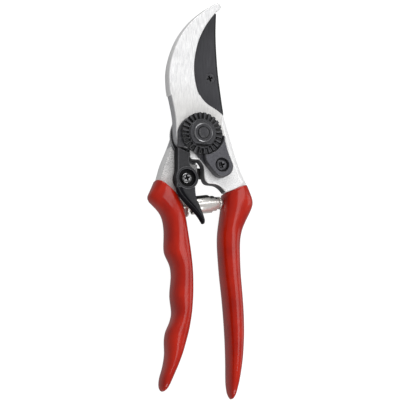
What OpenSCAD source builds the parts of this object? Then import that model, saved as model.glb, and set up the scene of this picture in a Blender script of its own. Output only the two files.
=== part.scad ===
// Bypass pruning shears, closed and latched, lying on the pivot bolt's head.
// Origin: centre of the bolt head's flat back face. +Z: along the pivot to the nut. +Y: to the tip.

/* [Levers] */
// Back face of the blade lever's head, above the bolt head
blade_lever_z = 2; // [1.8:0.1:2.2]
// Thickness of the blade lever's head
blade_lever_t = 6.2; // [5.8:0.1:6.2]
// Thickness of the hook lever's head and hook
hook_t = 6.65; // [6.2:0.05:7]
// Thickness of the tangs inside the grips
tang_t = 8.6; // [7:0.1:9]

/* [Blades] */
// Thickness of the cutting blade
blade_t = 3.4; // [3:0.1:3.4]
// Gap between the two heads
head_gap = 0.25; // [0.2:0.05:0.3]
// Thickness of the counter blade on the hook
counter_t = 1.5; // [1.2:0.1:1.8]
// Width of the counter blade
counter_w = 5.5; // [4.5:0.25:6]

/* [Pivot] */
// Radius of the pivot bolt's shank
shank_r = 4.5; // [4:0.1:5]
// Radius of the pivot bolt's thread
thread_r = 2.95; // [2.5:0.05:3.2]
// Radius of the pivot bolt's head
bolt_head_r = 8; // [7:0.5:9]
// Outer radius of the toothed nut
nut_r = 11.4; // [11:0.1:11.6]

/* [Grips] */
// Half depth of a grip at its thickest
grip_half_depth = 8.7; // [8.4:0.1:9]
// Wall between a grip's outside and its tang
grip_wall = 2.4; // [2.2:0.1:2.8]

/* [Spring] */
// Thickness of the spring's strip
strip_t = 0.6; // [0.4:0.05:0.65]
// Width of the spring's strip
strip_w = 11.5; // [9:0.25:11.5]
// Turns of the spring
spring_turns = 3; // [2:0.5:3]

/* [Hidden] */

$fn = 64;
eps = 0.01;
running_gap = 0.05;
hair_gap = 0.1;
tall = 40;

// Layers from the back to the front
blade_z = blade_lever_z + blade_lever_t;
blade_top = blade_z + blade_t;
hook_z = blade_top + head_gap;
hook_top = hook_z + hook_t;
plate_top = hook_top + 1;
nut_z = plate_top + 0.3;
nut_tooth_z = nut_z + 0.6;
nut_rim_top = nut_z + 2.2;
nut_flats_top = nut_rim_top + 0.9;
nut_top = nut_flats_top + 1.1;
bolt_end_z = nut_top + 0.4;
segment_top = hook_top + 5;
segment_foot_top = nut_z - hair_gap;

// Grips and tangs share one middle height
grip_z = grip_half_depth;
drawn_half_depth = 8.7;
grip_relief = 12;
tang_z = grip_z - tang_t / 2;
tang_top = tang_z + tang_t;
tongue_top = 16.2;

// Pivot stack
washer_r = 7.5;
washer_seat = 0.85;
blade_eye_r = 14.1;
lever_eye_r = 11.4;
shoulder_r = 15.2;
plate_r = 9.8;
tooth_root_r = 7.8;
tooth_gap = 1.3;
nut_teeth = 24;
nut_boss_r = 5.3;
nut_flats = 5.9;
segment_clearance = 0.35;
edge_break = 0.5;

// Thumb latch
latch_at = [-7.6, -24.3, 0];
latch_hub_r = 6.3;
latch_pin_r = 2.4;
latch_pin_z = 5;
latch_pad_top = 12;
shoulder_top = latch_pad_top - hair_gap;
spacer_t = 0.5;
spacer_r = 4.6;
latch_z = latch_pad_top + spacer_t + hair_gap;
latch_top = hook_top + 0.7;
latch_hub_top = latch_top + 0.4;
latch_tail_z = 16.6;
latch_counterbore_r = 4.9;
latch_counterbore_z = latch_hub_top - 2.5;
latch_head_r = 3;
latch_head_top = latch_counterbore_z + 1.7;

// Screws
blade_screw_at = [7.9, 32.2, 0];
blade_screw_z = 3.6;
blade_screw_r = 1.8;
blade_screw_head_r = 3;
blade_screw_top = blade_top - hair_gap;
segment_screw_at = [10.7, -16.7, 0];
segment_screw_z = 12.5;
segment_screw_r = 2;
segment_seat_z = segment_top - 2.6;
segment_seat_r = 3.9;
segment_head_r = 3.2;
segment_head_top = segment_top - 0.8;
recess_arm = 1.1;
recess_turn = 20;

// Return spring, from the blade lever's peg to the hook lever's peg
spring_from = [-5.6, -38, grip_z];
spring_to = [14.6, -34.7, grip_z];
spring_run = norm(spring_to - spring_from);
spring_turn = atan2(spring_to[1] - spring_from[1], spring_to[0] - spring_from[0]);
spring_big_r = 5.3;
spring_small_r = spring_big_r - 0.8 * spring_turns;
spring_ease = 1.7;
peg_gap = 0.2;
peg_flange_t = 0.9;
peg_shank_r = 1.6;
peg_depth = 7;
big_flange_r = 5.6;
small_flange_r = 3.4;
peg_nose = 2.4;

// Rubber pad, a rod along X with a stem in the hook lever
bumper_r = 1.4;
bumper_x = [1.3, 7.6];
bumper_y = [-21.1, -17.9];
bumper_z = 8.2;

// Outer edge of the hook and its lever's head, from the tip down to the latch notch
hook_back = [[9.8, 72.3], [4, 68.9], [-4.4, 61.9], [-11.5, 52.6], [-15.8, 42.5], [-17.8, 33],
    [-17.4, 24.5], [-15.5, 16.5], [-13.9, 8], [-13.6, 0], [-13, -3.6], [-11.6, -6.2], [-9.2, -7.7]];
// Concave edge of the hook, from the throat's corner up to the tip
hook_throat = [[12.9, 11.4], [9.2, 14], [4.4, 16.6], [1.2, 19.6], [-1.4, 24], [-3, 30],
    [-3.4, 36], [-2.9, 42.4], [-0.6, 51.7], [3.7, 60.2], [8.8, 66.9]];
hook_tip = [[11, 68.5], [11.9, 70.2], [11.3, 71.6]];
// Latch notch, which the thumb latch's nose stands in
notch = [[-5.9, -7.7], [-5.9, -12.6], [-5, -13.7], [-4.2, -13.9], [-0.6, -13.8]];
// Inner edge of the hook lever, from the notch to its grip
hook_inner = [[-0.6, -13.8], [1.9, -16.8], [2.2, -20.5], [2.5, -24], [4, -26.1], [6.5, -26.5],
    [9.4, -26.6], [12.2, -28.1], [14.5, -30.6]];
// Outer edge of the hook lever, from its grip up to the throat's corner
hook_side = [[26.4, -25.6], [23.7, -20.6], [20.1, -11.4], [16.8, -0.7], [13.3, 10.2]];
// Block behind the hook lever's face, down to its tang, outside the sweep of the blade lever
hook_step = [[5.4, -17.6], [9, -16.8], [16, -12.4], [18.8, -13], [21.4, -20], [23.8, -26.8], [24.5, -30],
    [18.4, -33], [17.8, -29.2], [15.6, -26.9], [12.6, -25.3], [8.6, -24.9], [6.2, -23.8], [5.4, -21.6]];

// Cutting edge of the blade, from the tip to the pivot eye, hidden behind the hook
blade_edge = [[10.6, 68.8], [7.6, 67.2], [1.9, 61.2], [-2.6, 52.5], [-5, 43], [-5.6, 35],
    [-5.6, 27], [-7.4, 19], [-11, 12.5], [-13.1, 4]];
// Spine of the blade, from the pivot eye up to the tip
blade_spine = [[13.3, 3.4], [15.2, 10.5], [15.7, 13], [14.9, 18.5], [13.8, 26], [12.5, 36],
    [11.6, 48], [11.3, 58], [11.6, 67.6]];

// Arm of the blade lever behind the blade
blade_arm = [[11.1, 3], [13.4, 12], [12.5, 22], [11.6, 31], [10.4, 36], [7.9, 37.6], [5.2, 36.4],
    [3, 31], [0.5, 21], [-6, 12], [-10.7, 4]];
// Outer edge of the blade lever, from its eye to its grip
blade_lever_side = [[-11.4, 0.4], [-13, -4.3], [-15.3, -10], [-17.7, -15.7], [-19.4, -21.6], [-20.7, -26.1]];
// Inner edge of the blade lever, from its grip to its eye
blade_lever_inner = [[-8.8, -34.8], [-7, -31.8], [-4, -30.6], [-0.8, -27.6], [0.8, -23], [0.7, -17],
    [1.2, -14], [3, -11]];

// Grips: [y, outer x, inner x, half depth, middle z] from above the rim down to the butt
blade_grip_rows = [[-18, -19.6, -11.6, 7.4, 8.7], [-24, -21.6, -10.6, 7.4, 8.7], [-30, -24.3, -8.9, 7.5, 8.7],
    [-34.2, -26.2, -7.6, 7.6, 8.7], [-36.2, -25, -7.2, 7.7, 8.7], [-40.4, -19.9, -6.4, 8, 8.7],
    [-45, -17.2, -5.7, 8.4, 8.7], [-52, -16.2, -4.6, 8.7, 8.7], [-62, -16.4, -2.9, 8.7, 8.7],
    [-66.5, -14.4, -2.4, 8.7, 8.7], [-70, -12.7, -2.1, 8.7, 8.7], [-76, -12.1, -1.7, 8.7, 8.7],
    [-86, -13, -1.6, 8.7, 8.7], [-95, -11.8, -2.3, 8.6, 8.7], [-101, -13.2, -3.1, 8.4, 8.7],
    [-105.7, -15.4, -3.9, 8.3, 8.7], [-111, -16.2, -5.3, 8.1, 8.7], [-118, -15.9, -7.4, 7.8, 8.7],
    [-125, -17, -10.1, 7.4, 8.7], [-131, -18.8, -12.7, 6.8, 8.7], [-135, -19.3, -14.4, 5.8, 8.7],
    [-137.4, -18.9, -15.7, 4.4, 8.7], [-138.6, -18, -16.9, 2.2, 8.7]];
hook_grip_rows = [[-20, 26.4, 15.8, 9, 9.9], [-25, 28.3, 15.9, 9, 9.9], [-28.4, 29.9, 15.9, 9, 9.9],
    [-32.2, 31.5, 15.7, 9, 9.8], [-35, 32, 15.6, 9, 9.7], [-39, 30.7, 15.3, 8.9, 9.5],
    [-45.4, 27.6, 14.6, 8.8, 9.1], [-51, 25.6, 14.1, 8.7, 8.8], [-58, 24.8, 14.1, 8.7, 8.7],
    [-72, 25.1, 15.2, 8.7, 8.7], [-84, 26.1, 16.6, 8.7, 8.7], [-96, 26.9, 17.7, 8.6, 8.7],
    [-108, 27, 18.5, 8.4, 8.7], [-120, 26.2, 18.9, 8, 8.7], [-130, 24.7, 18.9, 7.2, 8.7],
    [-135.6, 23.6, 19.2, 5.8, 8.7], [-138.8, 22.7, 20, 4, 8.7], [-140.4, 21.8, 20.8, 2, 8.7]];
blade_tang = [-27, -118];
hook_tang = [-27, -120];
hook_tongue = [-27, -48];
blade_rim = [[-21.4, -25.6], [-15.2, -30.1]];
hook_rim = [[14.3, -30.7], [26.6, -25.5]];

// One point of a smooth curve through four neighbours, at t between b and c
function between(a, b, c, d, t) =
    0.5 * (2 * b + (c - a) * t + (2 * a - 5 * b + 4 * c - d) * t * t
        + (3 * b - a - 3 * c + d) * t * t * t);

// Smooth open curve through every point of p, with n steps between neighbours
function smooth(p, n) = concat(
    [for (i = [0:len(p) - 2], s = [0:n - 1])
        between(p[max(i - 1, 0)], p[i], p[i + 1], p[min(i + 2, len(p) - 1)], s / n)],
    [p[len(p) - 1]]);

function flip(p) = [for (i = [len(p) - 1:-1:0]) p[i]];

// The curve p moved sideways by d, to its left
function beside(p, d) = [for (i = [0:len(p) - 1])
    let (v = p[min(i + 1, len(p) - 1)] - p[max(i - 1, 0)])
    p[i] + d * [-v[1], v[0]] / norm(v)];

// Outline of a grip less its wall, between two heights along the grip
function tang_outline(rows, span) =
    let (r = [for (q = smooth(rows, 3)) if (q[0] < span[0] && q[0] > span[1]) q],
        s = sign(rows[0][2] - rows[0][1]))
    concat([for (q = r) [q[1] + s * grip_wall, q[0]]], [for (q = flip(r)) [q[2] - s * grip_wall, q[0]]]);

// Ring of a grip at one row: a squarish oval
grip_sides = 28;
squareness = 2.5;
function bulge(c) = sign(c) * pow(abs(c), 2 / squareness);
function grip_ring(q) = [for (i = [0:grip_sides - 1])
    let (a = 360 * i / grip_sides)
    [(q[1] + q[2]) / 2 + abs(q[1] - q[2]) / 2 * bulge(cos(a)), q[0],
        (q[4] + q[3] * bulge(sin(a))) * grip_half_depth / drawn_half_depth]];

// Closed solid through rings of the same number of points
module skin(rings) {
    n = len(rings[0]);
    m = len(rings);
    points = [for (r = rings, p = r) p];
    walls = [for (i = [0:m - 2], j = [0:n - 1], k = [0, 1])
        k == 0
            ? [i * n + j, i * n + (j + 1) % n, (i + 1) * n + (j + 1) % n]
            : [i * n + j, (i + 1) * n + (j + 1) % n, (i + 1) * n + j]];
    ends = [[for (j = [n - 1:-1:0]) j], [for (j = [0:n - 1]) (m - 1) * n + j]];
    polyhedron(points, concat(walls, ends), convexity = 6);
}

module slab(from, to) translate([0, 0, from]) linear_extrude(to - from) children();

module rod(r, from, to) translate([0, 0, from]) cylinder(r = r, h = to - from);

// Half space above a rim line and above z, used to end a grip and its tang
module above_rim(rim, z) {
    v = rim[1] - rim[0];
    translate([rim[0][0], rim[0][1], z]) rotate([0, 0, atan2(v[1], v[0])])
        translate([-tall / 2, 0, 0]) cube([1.5 * tall, tall / 2, tall]);
}

// Cross recess cut down from a screw's top
module cross_recess(top, depth) for (turn = [0, 90])
    rotate([0, 0, turn + recess_turn])
        translate([-recess_arm * 1.5, -recess_arm / 2.6, top - depth])
            cube([recess_arm * 3, recess_arm / 1.3, depth + eps]);

module hook_outline() polygon(concat(smooth(hook_back, 4), notch, smooth(hook_inner, 3),
    smooth(hook_side, 3), smooth(hook_throat, 4), hook_tip));

module blade_lever_outline() union() {
    circle(r = lever_eye_r);
    polygon(concat(smooth(blade_arm, 3), smooth(blade_lever_side, 2), smooth(blade_lever_inner, 3)));
}

module blade_outline() union() {
    circle(r = blade_eye_r);
    polygon(concat(smooth(blade_edge, 4), smooth(blade_spine, 3)));
}

module spring_axis() translate(spring_from) rotate([0, 0, spring_turn]) rotate([0, 90, 0]) children();

module blade_screw_shape() translate(blade_screw_at) rotate_extrude()
    polygon([[0, blade_screw_z], [blade_screw_r, blade_screw_z], [blade_screw_r, blade_screw_top - 1.3],
        [blade_screw_head_r, blade_screw_top - hair_gap], [blade_screw_head_r, blade_screw_top],
        [0, blade_screw_top]]);

// Bores of the two spring pegs
module blade_peg_shank() spring_axis() rod(peg_shank_r, -peg_depth, 0);
module hook_peg_shank() spring_axis() rod(peg_shank_r, spring_run, spring_run + peg_depth);

// Tang in the blade lever's grip, kept below the latch above the grip's rim
module blade_tang_solid() difference() {
    slab(tang_z, tang_top) polygon(tang_outline(blade_grip_rows, blade_tang));
    above_rim(blade_rim, shoulder_top);
}

// Tang in the hook lever's grip, with the tongue that carries on the lever's face
module hook_tang_solid() {
    slab(tang_z, tang_top) polygon(tang_outline(hook_grip_rows, hook_tang));
    slab(hook_z, tongue_top) polygon(tang_outline(hook_grip_rows, hook_tongue));
    slab(tang_z, hook_z) polygon(hook_step);
}

// Forged lever behind the blade, with its tang in the left grip
module blade_lever() color("lightgray") difference() {
    union() {
        slab(blade_lever_z, blade_z) blade_lever_outline();
        // shoulder under the latch, clear of the turning hook lever
        slab(blade_lever_z, shoulder_top) difference() {
            polygon(concat(smooth(blade_lever_side, 2), smooth(blade_lever_inner, 3)));
            circle(r = shoulder_r);
        }
        translate(latch_at) rod(latch_hub_r, blade_lever_z, latch_pad_top);
        blade_tang_solid();
    }
    rod(shank_r + running_gap, 0, hook_z);
    translate(latch_at) rod(latch_pin_r, latch_pin_z, latch_pad_top + eps);
    blade_screw_shape();
    blade_peg_shank();
}

// Cutting blade, screwed to the front of its lever
module blade() color("dimgray") difference() {
    slab(blade_z, blade_top) blade_outline();
    rod(shank_r + running_gap, 0, hook_z);
    blade_screw_shape();
    translate(blade_screw_at) rod(blade_screw_head_r, blade_screw_top, hook_z);
}

module blade_screw() color("dimgray") difference() {
    blade_screw_shape();
    translate(blade_screw_at) cross_recess(blade_screw_top, 1.6);
}

module blade_grip() color("firebrick") difference() {
    skin([for (q = smooth(blade_grip_rows, 3)) grip_ring(q)]);
    above_rim(blade_rim, -eps);
    blade_tang_solid();
    blade_peg_shank();
    spring_axis() rod(big_flange_r + 0.5, 0, grip_relief);
}

// Peg in the blade lever that carries the spring's wide end
module blade_spring_peg() color("silver") {
    blade_peg_shank();
    spring_axis() rod(big_flange_r, 0, peg_flange_t);
    spring_axis() rod(spring_small_r - strip_t - peg_gap, peg_flange_t, peg_flange_t + peg_nose);
}

// Pivot screw of the thumb latch
module latch_screw() color("dimgray") translate(latch_at) difference() {
    union() {
        rod(latch_pin_r, latch_pin_z, latch_counterbore_z + hair_gap);
        rod(latch_head_r, latch_counterbore_z + hair_gap, latch_head_top);
    }
    cross_recess(latch_head_top, 1.2);
}

// Spring washer that gives the latch its drag
module latch_spacer() color("silver") translate(latch_at) difference() {
    rod(spacer_r, latch_pad_top, latch_pad_top + spacer_t);
    rod(latch_pin_r, latch_z - 2, latch_z);
}

// Thumb latch: a nose in the hook lever's notch, a hub on its screw and a tail for the thumb
latch_arm = [[-12.9, -8.15], [-6.4, -10.4], [-6.4, -16.5], [-5, -18.6], [-2, -22], [-7.6, -24.3],
    [-12.9, -27.6]];
latch_tail_left = [[-12.9, -24], [-13.6, -29.6], [-12.7, -32.6], [-10.9, -35.1], [-8, -38.1],
    [-5.2, -40.6], [-1.8, -44], [0.4, -46.9]];
latch_tail_right = [[1.3, -48.6], [2.2, -48.4], [2.3, -47], [1.2, -43.4], [-1, -38.1], [-2.7, -34.4],
    [-3, -29]];
module thumb_latch() color("#26262a") difference() {
    union() {
        slab(latch_z, latch_top) polygon(latch_arm);
        translate(latch_at) rod(latch_hub_r, latch_z, latch_hub_top);
        slab(latch_tail_z, latch_top) polygon(concat(smooth(latch_tail_left, 3),
            smooth(latch_tail_right, 3)));
    }
    translate(latch_at) {
        rod(latch_pin_r + running_gap, latch_z - eps, latch_hub_top);
        rod(latch_counterbore_r, latch_counterbore_z, latch_hub_top + eps);
    }
}

module counter_outline() {
    edge = [for (p = smooth(hook_throat, 4)) if (p[1] > counter_span[0] && p[1] < counter_span[1]) p];
    polygon(concat(edge, flip(beside(edge, counter_w))));
}
counter_z = hook_z - 0.15;
counter_span = [19, 65];
counter_rivets = [[-5.5, 29, 0], [-1.3, 55.6, 0]];
counter_rivet_r = 1.5;
module counter_rivet_rods(top) for (at = counter_rivets) translate(at) rod(counter_rivet_r, counter_z, top);

module bumper_shape() translate([bumper_x[0], 0, bumper_z]) rotate([0, 90, 0]) {
    length = bumper_x[1] - bumper_x[0];
    for (y = bumper_y) translate([0, y, 0]) cylinder(r = bumper_r, h = length);
    translate([-bumper_r, bumper_y[0], 0]) cube([2 * bumper_r, bumper_y[1] - bumper_y[0], length]);
}

// Forged lever with the hook, the pivot eye, the latch notch and its tang in the right grip
module hook_lever() color("lightgray") difference() {
    union() {
        slab(hook_z, hook_top) hook_outline();
        hook_tang_solid();
    }
    rod(shank_r, hook_z - eps, hook_top + eps);
    rod(washer_r, hook_z - eps, hook_z + washer_seat);
    slab(hook_z - eps, counter_z + counter_t) counter_outline();
    counter_rivet_rods(hook_top - 2);
    translate(segment_screw_at) rod(segment_screw_r, segment_screw_z, hook_top + eps);
    bumper_shape();
    hook_peg_shank();
}

// Steel cutting plate let into the back of the hook
module counter_blade() color("silver") difference() {
    slab(counter_z, counter_z + counter_t) counter_outline();
    counter_rivet_rods(hook_top);
}

module counter_blade_rivets() color("gray") counter_rivet_rods(hook_top - 2);

module hook_grip() color("firebrick") difference() {
    skin([for (q = smooth(hook_grip_rows, 3)) flip(grip_ring(q))]);
    above_rim(hook_rim, -eps);
    hook_tang_solid();
    hook_peg_shank();
    spring_axis() rod(small_flange_r + 0.3, spring_run - grip_relief, spring_run);
}

// Peg in the hook lever that centres the spring's narrow end
module hook_spring_peg() color("silver") {
    hook_peg_shank();
    spring_axis() rod(small_flange_r, spring_run - peg_flange_t, spring_run);
    spring_axis() rod(spring_small_r - strip_t - peg_gap, spring_run - peg_flange_t - peg_nose,
        spring_run - peg_flange_t);
}

// Rubber pad in the hook lever that meets the blade lever when the handles close
module bumper() color("#1b1b1b") bumper_shape();

module pivot_bolt() color("dimgray") rotate_extrude() polygon([[0, 0], [bolt_head_r - edge_break, 0],
    [bolt_head_r, edge_break], [bolt_head_r, 1.3], [bolt_head_r - 0.6, blade_lever_z - running_gap],
    [shank_r, blade_lever_z - running_gap], [shank_r, hook_top], [thread_r, hook_top],
    [thread_r, bolt_end_z - 0.4], [thread_r - 0.4, bolt_end_z], [0, bolt_end_z]]);

// Bearing washer let into the hook lever's eye
module pivot_washer() color("goldenrod") difference() {
    rod(washer_r, blade_top + running_gap, hook_z + washer_seat);
    rod(shank_r, blade_top, hook_top);
}

// Toothed nut: a rim with radial gaps, two spanner flats and a chamfered boss
module pivot_nut() color("#303034") difference() {
    union() {
        rod(nut_r, nut_z, nut_rim_top);
        rod(nut_boss_r + 1, plate_top, nut_z);
        intersection() {
            rod(tooth_root_r - 0.4, nut_rim_top, nut_flats_top);
            translate([-nut_r, -nut_flats, nut_rim_top]) cube([2 * nut_r, 2 * nut_flats, tall]);
        }
        rotate_extrude() polygon([[0, nut_flats_top], [nut_boss_r, nut_flats_top],
            [nut_boss_r, nut_top - edge_break], [nut_boss_r - edge_break, nut_top], [0, nut_top]]);
    }
    rod(thread_r, hook_top, nut_top + eps);
    for (i = [0:nut_teeth - 1]) rotate([0, 0, i * 360 / nut_teeth])
        translate([tooth_root_r, -tooth_gap / 2, nut_tooth_z]) cube([nut_r, tooth_gap, tall]);
}

// Plate under the nut, with a straight lug beside the notch
module stop_plate() color("#202024") slab(hook_top, plate_top) difference() {
    union() {
        circle(r = plate_r);
        polygon([[-13.1, -7.7], [-6, -7.7], [0, -6], [0, 8], [-8.4, 7.9], [-10.6, 5.9], [-12.2, 3.4],
            [-13.1, 0.6]]);
    }
    circle(r = thread_r);
}

// Segment screwed to the hook lever, with a low foot under the nut and teeth in the nut's gaps
segment_side = [[11.4, 1.6], [11.9, -1.5], [13.4, -7.5], [15.2, -12.4], [16.7, -15.6], [17, -18],
    [15.8, -20.9], [13.4, -22.7], [10.2, -23.3], [7.3, -22], [3.5, -17.9], [1.4, -14.8], [0.8, -11.2]];
segment_teeth = [-5:-1];
segment_tooth_t = 1;
segment_tooth_h = 0.8;
module lock_segment() color("#303034") difference() {
    union() {
        slab(hook_top, segment_top) difference() {
            polygon(concat([[4, -4], [9.4, 1.6]], smooth(segment_side, 3)));
            circle(r = nut_r + segment_clearance);
        }
        slab(hook_top, segment_foot_top) difference() {
            union() {
                polygon([[-1.6, -9.9], [-3.6, -10.5], [4.4, -18.9], [9, -12], [6, -9]]);
                polygon([[7, 5], [11.9, 3], [12.4, 1], [12.6, -3], [13.4, -7.5], [9, -9]]);
            }
            circle(r = plate_r + 0.2);
        }
        for (i = segment_teeth) rotate([0, 0, i * 360 / nut_teeth])
            translate([tooth_root_r + 0.8, -segment_tooth_t / 2, nut_tooth_z + hair_gap])
                cube([nut_r - tooth_root_r + 0.2, segment_tooth_t, segment_tooth_h]);
    }
    translate(segment_screw_at) {
        rod(segment_screw_r, hook_z, segment_top);
        rod(segment_seat_r, segment_seat_z, segment_top + eps);
    }
}

module segment_screw() color("dimgray") translate(segment_screw_at) difference() {
    union() {
        rod(segment_screw_r, segment_screw_z, segment_seat_z);
        rod(segment_head_r, segment_seat_z, segment_head_top);
    }
    cross_recess(segment_head_top, 1.2);
}

// Conical return spring: a flat strip wound so that each turn slides into the one before
module spring() color("silver") spring_axis() {
    steps = 24 * spring_turns;
    z0 = peg_flange_t + hair_gap;
    z1 = spring_run - peg_flange_t - hair_gap - strip_w;
    skin([for (i = [0:steps])
        let (t = i / steps, a = 360 * spring_turns * t, r = spring_big_r + (spring_small_r - spring_big_r) * t,
            z = z0 + (z1 - z0) * (1 - pow(1 - t, spring_ease)))
        [for (c = [[r, z], [r - strip_t, z], [r - strip_t, z + strip_w], [r, z + strip_w]])
            [c[0] * cos(a), c[0] * sin(a), c[1]]]]);
}

blade_lever();
blade();
blade_screw();
blade_grip();
blade_spring_peg();
latch_screw();
latch_spacer();
thumb_latch();
hook_lever();
counter_blade();
counter_blade_rivets();
hook_grip();
hook_spring_peg();
bumper();
pivot_bolt();
pivot_washer();
pivot_nut();
stop_plate();
lock_segment();
segment_screw();
spring();
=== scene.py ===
"""Looks of the bypass pruning shears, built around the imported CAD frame."""
import math

import bmesh
import bpy
from mathutils import Matrix, Vector


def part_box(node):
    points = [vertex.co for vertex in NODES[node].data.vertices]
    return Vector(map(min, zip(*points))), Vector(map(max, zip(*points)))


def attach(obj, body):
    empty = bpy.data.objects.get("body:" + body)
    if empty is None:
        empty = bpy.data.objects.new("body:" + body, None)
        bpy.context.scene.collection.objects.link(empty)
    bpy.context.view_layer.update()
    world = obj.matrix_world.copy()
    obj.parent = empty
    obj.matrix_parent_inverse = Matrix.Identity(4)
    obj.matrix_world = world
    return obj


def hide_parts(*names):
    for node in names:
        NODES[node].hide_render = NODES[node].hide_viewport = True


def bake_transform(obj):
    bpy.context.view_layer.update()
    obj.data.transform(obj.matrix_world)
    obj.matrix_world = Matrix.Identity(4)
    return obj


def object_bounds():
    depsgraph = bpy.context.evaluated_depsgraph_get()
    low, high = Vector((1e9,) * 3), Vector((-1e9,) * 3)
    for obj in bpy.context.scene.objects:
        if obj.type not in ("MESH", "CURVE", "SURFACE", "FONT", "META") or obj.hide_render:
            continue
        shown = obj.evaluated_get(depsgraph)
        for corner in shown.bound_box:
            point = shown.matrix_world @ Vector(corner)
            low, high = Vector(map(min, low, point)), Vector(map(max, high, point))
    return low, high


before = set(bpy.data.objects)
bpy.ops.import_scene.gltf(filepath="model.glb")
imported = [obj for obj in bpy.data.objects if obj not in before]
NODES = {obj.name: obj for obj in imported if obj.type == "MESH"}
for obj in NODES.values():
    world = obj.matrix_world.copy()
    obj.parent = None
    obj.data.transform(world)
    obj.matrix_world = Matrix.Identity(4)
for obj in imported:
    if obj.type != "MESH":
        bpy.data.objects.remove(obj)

CAD_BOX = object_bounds()
MM = 0.001
BLADE_BODY = "blade_lever"
HOOK_BODY = "hook_lever"
LATCH_BODY = "thumb_latch"

# Levels of the layers above the bolt head's flat back, from the back to the front, in mm
BLADE_LEVER_BACK, BLADE_BACK, BLADE_FRONT, SHOULDER_FRONT = 2, 8.2, 11.6, 11.9
TANG_BACK, HOOK_BACK, HOOK_FRONT = 4.4, 11.85, 18.5
COUNTER_BACK, COUNTER_FRONT, RIVET_FRONT = 11.7, 13.2, 16.5
WASHER_BACK, WASHER_FRONT, PLATE_FRONT = 11.65, 12.7, 19.5
NUT_BACK, NUT_TOOTH_FLOOR, NUT_RIM, NUT_FLATS, NUT_FRONT, BOLT_END = 19.8, 20.4, 22, 22.9, 24, 24.4
SEGMENT_FOOT, SEGMENT_SEAT, SEGMENT_FRONT = 19.7, 20.9, 23.5
TOOTH_BACK, TOOTH_FRONT = 20.5, 21.3
LATCH_BACK, LATCH_TAIL_BACK, LATCH_SEAT, LATCH_FRONT, LATCH_HUB = 12.6, 16.6, 17.1, 19.2, 19.6
# How much a layer shrinks so that another covers it, and how far layers reach into each other, in mm
SLIVER = 0.03
OVERLAP = 0.1


# ---------------------------------------------------------------- camera, light and floor

# The camera stands over the shears, 20 degrees to their left and 11 degrees toward the grips
VIEW_LEFT = math.radians(20)
VIEW_LOW = math.radians(11)
VIEW_DISTANCE = 6
VIEW_WIDTH = 0.2132
# Middle of the picture: this far right of the pivot's top and this far below it
AIM_RIGHT = -0.0021
AIM_DOWN = 0.0361


def make_camera():
    """A long lens from far away, so that the view is nearly parallel."""
    toward = Vector((-math.sin(VIEW_LEFT) * math.cos(VIEW_LOW), -math.sin(VIEW_LOW),
                     math.cos(VIEW_LEFT) * math.cos(VIEW_LOW)))
    right = Vector((math.cos(VIEW_LEFT), 0, math.sin(VIEW_LEFT)))
    up = toward.cross(right)
    pivot_top = Vector((0, 0, NUT_FRONT * MM))
    aim = pivot_top + right * AIM_RIGHT - up * AIM_DOWN
    data = bpy.data.cameras.new("camera")
    data.lens = data.sensor_width * VIEW_DISTANCE / VIEW_WIDTH
    data.clip_start = 0.05
    data.clip_end = 20
    camera = bpy.data.objects.new("camera", data)
    turn = Matrix((right, up, toward)).transposed().to_4x4()
    camera.matrix_world = Matrix.Translation(aim + toward * VIEW_DISTANCE) @ turn
    bpy.context.scene.collection.objects.link(camera)
    bpy.context.scene.camera = camera


# Where the softboxes look and how far from there they stand, in metres
LIT_POINT = Vector((0, -0.035, 0.01))
SOFTBOX_DISTANCE = 1.3


def softbox(name, direction, size, radiance):
    """A soft rectangular light that looks at the middle of the shears."""
    data = bpy.data.lights.new(name, "AREA")
    data.shape = "RECTANGLE"
    data.size, data.size_y = size
    data.energy = radiance * math.pi * size[0] * size[1]
    lamp = bpy.data.objects.new(name, data)
    way = Vector(direction).normalized()
    lamp.location = LIT_POINT + way * SOFTBOX_DISTANCE
    lamp.rotation_mode = "QUATERNION"
    lamp.rotation_quaternion = way.to_track_quat("Z", "Y")
    bpy.context.scene.collection.objects.link(lamp)


def make_lights():
    """A softbox where flat tops mirror it to the camera, and wide ones past the tip, grips and right."""
    softbox("top_softbox", (0.336, 0.191, 0.922), (0.28, 1.2), 2.4)
    softbox("tip_softbox", (-0.15, 0.85, 0.6), (1.1, 0.7), 4.0)
    softbox("grip_softbox", (0.05, -0.8, 0.6), (1.1, 0.7), 3.6)
    softbox("right_softbox", (0.93, 0.15, 0.3), (0.5, 0.9), 1.3)
    world = bpy.data.worlds.new("studio")
    world.use_nodes = True
    world.node_tree.nodes["Background"].inputs[0].default_value = (1, 1, 1, 1)
    world.node_tree.nodes["Background"].inputs[1].default_value = 0.28
    bpy.context.scene.world = world
    bpy.context.scene.view_settings.view_transform = "Standard"


def make_floor(low):
    """A white sheet that glows, and neither lights the shears nor shows in them."""
    reach = 4.0
    corners = [(-reach, -reach, low), (reach, -reach, low), (reach, reach, low), (-reach, reach, low)]
    mesh = bpy.data.meshes.new("floor")
    mesh.from_pydata(corners, [], [(0, 1, 2, 3)])
    floor = bpy.data.objects.new("floor", mesh)
    bpy.context.scene.collection.objects.link(floor)
    paper, shader = new_material("paper_floor", roughness=0.9)
    shader.inputs["Base Color"].default_value = (0.2, 0.2, 0.2, 1)
    shader.inputs["Specular IOR Level"].default_value = 0
    shader.inputs["Emission Color"].default_value = (1, 1, 1, 1)
    shader.inputs["Emission Strength"].default_value = 0.95
    mesh.materials.append(paper)
    floor.visible_glossy = False
    floor.visible_diffuse = False


# ---------------------------------------------------------------- materials

def new_material(name, roughness, metallic=0.0, coat=0.0, coat_roughness=0.1, specular=0.5):
    """A material and its shader."""
    material = bpy.data.materials.new(name)
    material.use_nodes = True
    shader = material.node_tree.nodes["Principled BSDF"]
    for socket, value in (("Roughness", roughness), ("Metallic", metallic), ("Coat Weight", coat),
                          ("Coat Roughness", coat_roughness), ("Specular IOR Level", specular)):
        shader.inputs[socket].default_value = value
    return material, shader


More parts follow.
